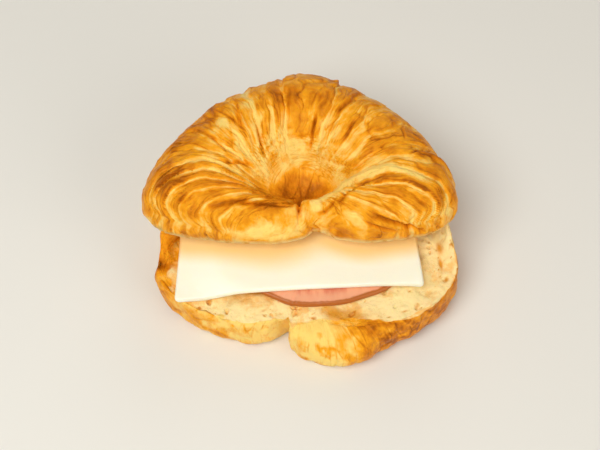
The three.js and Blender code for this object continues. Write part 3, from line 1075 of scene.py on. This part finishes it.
def lower_surface(turn, sizes):
    """Rings of the lower half, from the middle of its cut face over the wall and the foot to its sole."""
    share, angle = np.meshgrid(FACE_SHARES, turn, indexing="ij")
    face = cut_face(angle, share, sizes)

    wall_turn, angle = np.meshgrid(WALL_TURNS, turn, indexing="ij")
    wall_reach = mix(cut_outline(angle), belly_outline(angle), np.sin(wall_turn))
    edge_height = cut_height(1.0 + 0.0 * wall_turn, angle, sizes)
    wall = polar(wall_reach, angle, mix(BELLY_HEIGHT, edge_height, np.cos(wall_turn)))

    foot_turn, angle = np.meshgrid(FOOT_TURNS, turn, indexing="ij")
    foot_reach = belly_outline(angle) * mix(FOOT_SHARE, 1.0, np.cos(foot_turn))
    foot = polar(foot_reach, angle, BELLY_HEIGHT * (1.0 - np.sin(foot_turn)))

    sole_share, angle = np.meshgrid(SOLE_SHARES, turn, indexing="ij")
    sole = polar(belly_outline(angle) * sole_share, angle, 0.0 * sole_share)
    return np.concatenate([face, wall, foot, sole])


def wall_ridges(base, around):
    """1 along the wraps of dough on the wall and 0 between them, in line with those of the upper half."""
    wrap = np.degrees(around) / WALL_WRAP + 0.35 * rough(base, 20 * MM, seed=111)
    return np.abs(np.sin(np.pi * wrap)) ** 0.8


def wall_relief(base, around, ridge):
    """How far the lower half's skin stands out, and how much darker its knobs are."""
    up = base[..., 2]
    lift = smooth(0.0, 3 * MM, up) * ON_CRUST
    raised = (0.6 * MM * (ridge - 0.6) + 0.45 * MM * rough(base, 8 * MM, seed=121)) * lift
    grainy = np.minimum(1.0, lift + smooth(15 * MM, 16 * MM, up))
    raised = raised + 0.2 * MM * rough(base, 2.2 * MM, seed=131) * grainy
    near_rim = bell(RING_PLACES - 1.02, 0.08)[:, None]
    raised = raised + 0.4 * MM * rough(base, 3 * MM, seed=137) * near_rim
    degrees = np.degrees(around)
    darker = np.zeros(around.shape)
    # Painted shade: the small sunken hole near the left rim is drawn darker.
    for knob_angle, spread, height, height_spread, amount, extra in KNOBS:
        near = bell(angle_gap(degrees, knob_angle), spread) * bell(up - height, height_spread)
        raised = raised + amount * near
        darker = darker + extra * near
    return raised, darker


def wall_bake(base, grid, around, ridge):
    """How dark the lower half's crust is baked."""
    degrees = np.degrees(around)
    bake = 0.5 + 0.2 * (ridge - 0.6)
    bake = bake + 0.2 * rough(grid, 9 * MM, seed=141) + 0.12 * rough(grid, 3 * MM, seed=151)
    pale_tip = sectors(degrees, PALE_TIPS)
    bake = bake - 0.48 * pale_tip + 0.25 * pale_tip * smooth(0.1, 0.7, rough(grid, 4 * MM, seed=155))
    mottled = bell(degrees - MOTTLED_HORN[0], MOTTLED_HORN[1])
    bake = bake - 0.26 * mottled * (1.0 + 1.3 * rough(grid, 4 * MM, seed=157))
    speckled = bell(degrees - SPECKLED_HORN[0], SPECKLED_HORN[1]) * ON_CRUST
    bake = bake + speckled * (0.14 + 0.30 * rough(grid, 1.7 * MM, seed=161, octaves=2))
    return bake + 0.12 * smooth(4 * MM, 0.0, base[..., 2])


def crumb_cover(grid, around):
    """1 where crumb shows, and 0 where crust does."""
    degrees = np.degrees(around)
    edge = CRUMB_REACH + sectors(degrees, CRUMB_REACHES)
    ragged = (0.025 + 0.05 * bell(degrees - RAGGED_EDGE[0], RAGGED_EDGE[1])) * rough(grid, 3 * MM, seed=171)
    return 1.0 - smooth(-0.015, 0.015, RING_PLACES[:, None] + ragged - edge)


def crumb_tone_and_shade(face, angle, share):
    """How dark the crumb is before the air cells are pressed into it, from 0 to 1: its own uneven tone, and
    painted shade in its hollows and under the edges of the ham and cheese.
    """
    # Painted shade: the hollows, and the crumb under the edges of the ham and cheese, are made darker.
    brown = patches(angle, share, CRUMB_CONTACT_SHADE) + patches(angle, share, CRUMB_HOLLOWS)
    return np.clip(0.25 * rough(face, 7 * MM, seed=181) + brown, 0.0, 1.0)


def lower_grain(face, grid, around, share):
    """Coordinates for patterns on the wall and on the cut face, which meet at the rim."""
    grain = polar(GRAIN_RADIUS + 0.0 * around, around, 0.3 * grid[..., 2])
    wander = 0.02 * rough(face, 6 * MM, seed=191) * smooth(1.0, 0.85, share)
    inward = (share - 1.0 + wander) * 100 * MM
    across = 0.3 * face[-1:, :, 2] + inward
    grain[:FACE_ROWS] = polar(GRAIN_RADIUS + 0.0 * inward, around[:FACE_ROWS], across)
    return grain


class CROISSANT_OT_lower_half(bpy.types.Operator):
    """Adds the lower half: a flat-bottomed crust whose cut face shows the open crumb"""

    bl_idname = "croissant.lower_half"
    bl_label = "Lower half"

    def execute(self, context):
        sizes = context.scene.croissant_sizes
        turn = np.linspace(0.0, 2 * np.pi, LOWER_AROUND, endpoint=False)
        base = lower_surface(turn, sizes)
        around = np.tile(turn, (len(base), 1))
        ridge = wall_ridges(base, around)
        raised, darker = wall_relief(base, around, ridge)
        grid = base + outward(base) * raised[..., None]
        grid[..., 2] = np.maximum(grid[..., 2], 0.0)

        face, angle = base[:FACE_ROWS], around[:FACE_ROWS]
        share = np.repeat(FACE_SHARES[:, None], LOWER_AROUND, axis=1)
        crumb = crumb_cover(grid, around)
        bake = np.clip(wall_bake(base, grid, around, ridge) + darker, 0.0, 1.0)
        crumb_bake = 0.5 + 0.2 * rough(face, 9 * MM, seed=143) - patches(angle, share, PALE_CRUMB)
        bake[:FACE_ROWS] = np.clip(mix(bake[:FACE_ROWS], crumb_bake, crumb[:FACE_ROWS]), 0.0, 1.0)
        cell = np.zeros(around.shape)
        cell[:FACE_ROWS] = crumb_tone_and_shade(face, angle, share)
        grain = lower_grain(face, grid, around, share)

        attributes = {"bake": bake, "crumb": crumb, "cell": cell, "grain": grain}
        piece = skin("lower_half", [0, 0, DISH], grid, [0, 0, 0], attributes)
        material = baked_dough(context)
        press_air_cells(piece, sizes, material)
        finish_piece(piece, material, "croissant_bottom")
        return {"FINISHED"}


# ---- Filling ---------------------------------------------------------------------------------------

HAM_CENTRE = 0.5 * (HAM_LOW + HAM_HIGH)
HAM_REACH = 0.5 * (HAM_HIGH - HAM_LOW)
HAM_AROUND = 420  # points round the ham slice
HAM_POWER = 2.3  # a little squarer than an ellipse
REST_GAP = 0.3 * MM
CHEESE_CORNERS = [(-51, -15.5), (45, -10), (41, 25), (-50, 15)]  # millimetres, from the front left one round
CORNER_RADIUS = 1.8 * MM
DRAPE_FROM, DRAPE_TO = 1.15, 1.5  # the cheese falls to the crumb between these shares of the ham's reach
DRAPE_LIFT = 0.2 * MM
SHADE_FROM, SHADE_TO = -3 * MM, 11 * MM  # how far out from the upper half's rim the painted shade on the cheese reaches
SLICE_TOP = np.linspace(0.06, 0.99, 60)
SLICE_EDGE = np.linspace(0.0, np.pi, 17)
SLICE_UNDERSIDE = np.linspace(0.97, 0.06, 20)


def slice_grid(outline, thickness, base_height):
    """Rings of a slice with a rounded edge, from the middle of its top to that of its underside."""
    edge = 0.4 * thickness
    reach = np.linalg.norm(outline, axis=-1)
    rows, heights = [], []
    for share in SLICE_TOP:
        rows.append((reach - edge) * share)
        heights.append(thickness)
    for turn in SLICE_EDGE:
        rows.append(reach - edge + edge * np.sin(turn))
        heights.append(0.5 * thickness * (1.0 + np.cos(turn)))
    for share in SLICE_UNDERSIDE:
        rows.append((reach - edge) * share)
        heights.append(0.0)
    shares = np.array(rows) / reach
    flat = outline[None] * shares[..., None]
    z = np.array(heights)[:, None] + base_height(flat[..., 0], flat[..., 1])
    return np.concatenate([flat, z[..., None]], axis=-1), shares


def towards(start, end, distance):
    step = end - start
    return start + step / np.linalg.norm(step) * distance


def rounded_polygon(corners, radius, per_side=60, per_corner=12):
    """Points along a polygon whose corners are rounded."""
    points = []
    for k, here in enumerate(corners):
        following = corners[(k + 1) % len(corners)]
        start = towards(here, corners[k - 1], radius)
        end = towards(here, following, radius)
        for t in np.linspace(0.0, 1.0, per_corner, endpoint=False):
            points.append((1 - t) ** 2 * start + 2 * t * (1 - t) * here + t**2 * end)
        side_end = towards(following, here, radius)
        for t in np.linspace(0.0, 1.0, per_side, endpoint=False):
            points.append(mix(end, side_end, t))
    return np.array(points)


class CROISSANT_OT_ham(bpy.types.Operator):
    """Adds the oval ham slice that lies on the crumb"""

    bl_idname = "croissant.ham"
    bl_label = "Ham slice"

    def execute(self, context):
        sizes = context.scene.croissant_sizes
        angle = np.linspace(0.0, 2 * np.pi, HAM_AROUND, endpoint=False)
        wobble = 1.0 - 0.012 * (1.0 + np.sin(5 * angle + 1.0)) - 0.006 * (1.0 + np.sin(11 * angle))
        reach = superellipse(angle, HAM_REACH[0], HAM_REACH[1], HAM_POWER) * wobble
        outline = polar(reach, angle, 0.0)[:, :2]
        start = DISH + REST_GAP

        def rest(x, y):
            return start + crumb_sag(x + HAM_CENTRE[0], y + HAM_CENTRE[1], sizes)

        grid, shares = slice_grid(outline, sizes.ham_thickness, rest)
        upper_side = grid[..., 2] > start + 0.5 * sizes.ham_thickness
        grid[..., 2] += 0.12 * MM * lumps(grid, 6 * MM, seed=201) * upper_side
        grid[..., :2] += HAM_CENTRE[:2]
        top = [HAM_CENTRE[0], HAM_CENTRE[1], start + sizes.ham_thickness]
        bottom = [HAM_CENTRE[0], HAM_CENTRE[1], start]
        fibres = grid * [1.0, 0.25, 1.0]
        piece = skin("ham_slice_meat", top, grid, bottom, {"edge": shares, "grain": fibres})
        finish_piece(piece, ham_material(context.scene.croissant_colours), "ham_slice")
        return {"FINISHED"}


class CROISSANT_OT_cheese(bpy.types.Operator):
    """Adds the halved cheese slice, which lies on the ham and drapes to the crumb beyond it"""

    bl_idname = "croissant.cheese"
    bl_label = "Cheese slice"

    def execute(self, context):
        sizes = context.scene.croissant_sizes
        outline = rounded_polygon(np.array(CHEESE_CORNERS) * MM, CORNER_RADIUS)
        start = DISH + sizes.ham_thickness + 2 * REST_GAP

        def rest(x, y):
            from_ham = np.hypot((x - HAM_CENTRE[0]) / HAM_REACH[0], (y - HAM_CENTRE[1]) / HAM_REACH[1])
            fall = (sizes.ham_thickness + REST_GAP) * smooth(DRAPE_FROM, DRAPE_TO, from_ham)
            return start + crumb_sag(x, y, sizes) - fall + DRAPE_LIFT

        grid = slice_grid(outline, sizes.cheese_thickness, rest)[0]
        grid[..., 2] += 0.1 * MM * lumps(grid, 14 * MM, seed=211)
        top = [0.0, 0.0, start + DRAPE_LIFT + sizes.cheese_thickness]
        bottom = [0.0, 0.0, start + DRAPE_LIFT]
        # Painted shade: the cheese is coloured orange near and under the upper half's rim, where that half
        # shades it.
        lid_centre = [0.5 * (TOP_LOW[0] + TOP_HIGH[0]), TOP_LOW[1] + LID_FRONT]
        from_lid = grid[..., :2] - lid_centre
        rim = lid_outline(np.arctan2(from_lid[..., 1], from_lid[..., 0]))
        outside = np.hypot(from_lid[..., 0], from_lid[..., 1]) - rim
        outside = outside + 3 * MM * lumps(grid, 18 * MM, seed=221)
        warmth = 0.85 * (1.0 - smooth(SHADE_FROM, SHADE_TO, outside))
        piece = skin("cheese_slice_half", top, grid, bottom, {"warmth": warmth})
        finish_piece(piece, cheese_material(context.scene.croissant_colours), "cheese_slice")
        return {"FINISHED"}


# ---- Stage -----------------------------------------------------------------------------------------

LIGHTS = [  # name, direction from the croissant, distance, size, power in watts, colour
    ("key", (-0.35, -0.45, 0.85), 0.9, 0.6, 6.0, (1.0, 1.0, 0.93)),
    ("fill", (0.75, -0.65, 0.5), 1.0, 0.8, 3.4, (1.0, 0.94, 0.84)),
    ("back", (0.2, 0.9, 0.6), 1.0, 0.7, 1.6, (1.0, 0.95, 0.88)),
]
AMBIENT, AMBIENT_STRENGTH = (1.0, 0.93, 0.83, 1.0), 0.30
FLOOR_SIZE = 8.0
SENSOR_WIDTH = 36.0
AIM_SHIFT, AIM_HEIGHT = (-0.4 * MM, -0.6 * MM), 0.34  # from the croissant's middle, and a share of its height


def look_at(piece, place, target):
    """Puts a lamp or camera at a place, turned to the target."""
    piece.location = place
    piece.rotation_euler = (Vector(target) - Vector(place)).to_track_quat("-Z", "Y").to_euler()


class CROISSANT_OT_stage(bpy.types.Operator):
    """Adds the floor, the lights and the camera"""

    bl_idname = "croissant.stage"
    bl_label = "Stage"

    def execute(self, context):
        scene = context.scene
        settings = scene.croissant_stage
        low, high = (np.array(corner) for corner in CAD_BOX)
        middle = 0.5 * (low + high)
        aim_height = mix(low[2], high[2], AIM_HEIGHT)
        target = np.array([middle[0] + AIM_SHIFT[0], middle[1] + AIM_SHIFT[1], aim_height])

        bpy.ops.mesh.primitive_plane_add(size=FLOOR_SIZE, location=(0.0, 0.0, low[2]))
        floor = context.active_object
        floor.name = "floor"
        graph = Graph("floor_matte")
        matte = {"Base Color": (*settings.floor_colour, 1.0), "Roughness": 0.9, "Specular IOR Level": 0.2}
        floor.data.materials.append(graph.surface(matte))

        for name, direction, distance, size, power, tint in LIGHTS:
            lamp = bpy.data.lights.new(name, "AREA")
            lamp.shape = "DISK"
            lamp.size = size
            lamp.energy = power
            lamp.color = tint
            holder = bpy.data.objects.new(name, lamp)
            scene.collection.objects.link(holder)
            look_at(holder, middle + np.array(direction) * distance, middle)

        world = bpy.data.worlds.new("pale_room")
        world.use_nodes = True
        background = world.node_tree.nodes["Background"]
        background.inputs["Color"].default_value = AMBIENT
        background.inputs["Strength"].default_value = AMBIENT_STRENGTH
        scene.world = world
        scene.view_settings.view_transform = "Standard"

        lens = bpy.data.cameras.new("camera")
        lens.lens = settings.lens
        lens.sensor_width = SENSOR_WIDTH
        camera = bpy.data.objects.new("camera", lens)
        scene.collection.objects.link(camera)
        aim = np.array([0.0, -math.cos(settings.elevation), math.sin(settings.elevation)])
        look_at(camera, target + settings.distance * aim, target)
        scene.camera = camera
        return {"FINISHED"}


# ---- Panel and registration ------------------------------------------------------------------------

OPERATORS = [
    CROISSANT_OT_stage,
    CROISSANT_OT_lower_half,
    CROISSANT_OT_ham,
    CROISSANT_OT_cheese,
    CROISSANT_OT_upper_half,
]
GROUPS = {
    "croissant_sizes": CroissantSizes,
    "croissant_colours": CroissantColours,
    "croissant_stage": StageSettings,
}


class CROISSANT_PT_panel(bpy.types.Panel):
    """Lists the pieces of the croissant and their settings"""

    bl_idname = "CROISSANT_PT_panel"
    bl_label = "Croissant"
    bl_space_type = "VIEW_3D"
    bl_region_type = "UI"
    bl_category = "Croissant"

    def draw(self, context):
        for operator in OPERATORS:
            self.layout.operator(operator.bl_idname)
        for name, group in GROUPS.items():
            box = self.layout.box()
            for key in group.__annotations__:
                box.prop(getattr(context.scene, name), key)


def register():
    for kind in (*GROUPS.values(), *OPERATORS, CROISSANT_PT_panel):
        bpy.utils.register_class(kind)
    for name, group in GROUPS.items():
        setattr(bpy.types.Scene, name, PointerProperty(type=group))


def unregister():
    for name in GROUPS:
        delattr(bpy.types.Scene, name)
    for kind in (CROISSANT_PT_panel, *reversed(OPERATORS), *reversed(GROUPS.values())):
        bpy.utils.unregister_class(kind)


def main():
    register()
    bpy.ops.croissant.stage()
    bpy.ops.croissant.lower_half()
    bpy.ops.croissant.ham()
    bpy.ops.croissant.cheese()
    bpy.ops.croissant.upper_half()


if __name__ == "__main__":
    main()
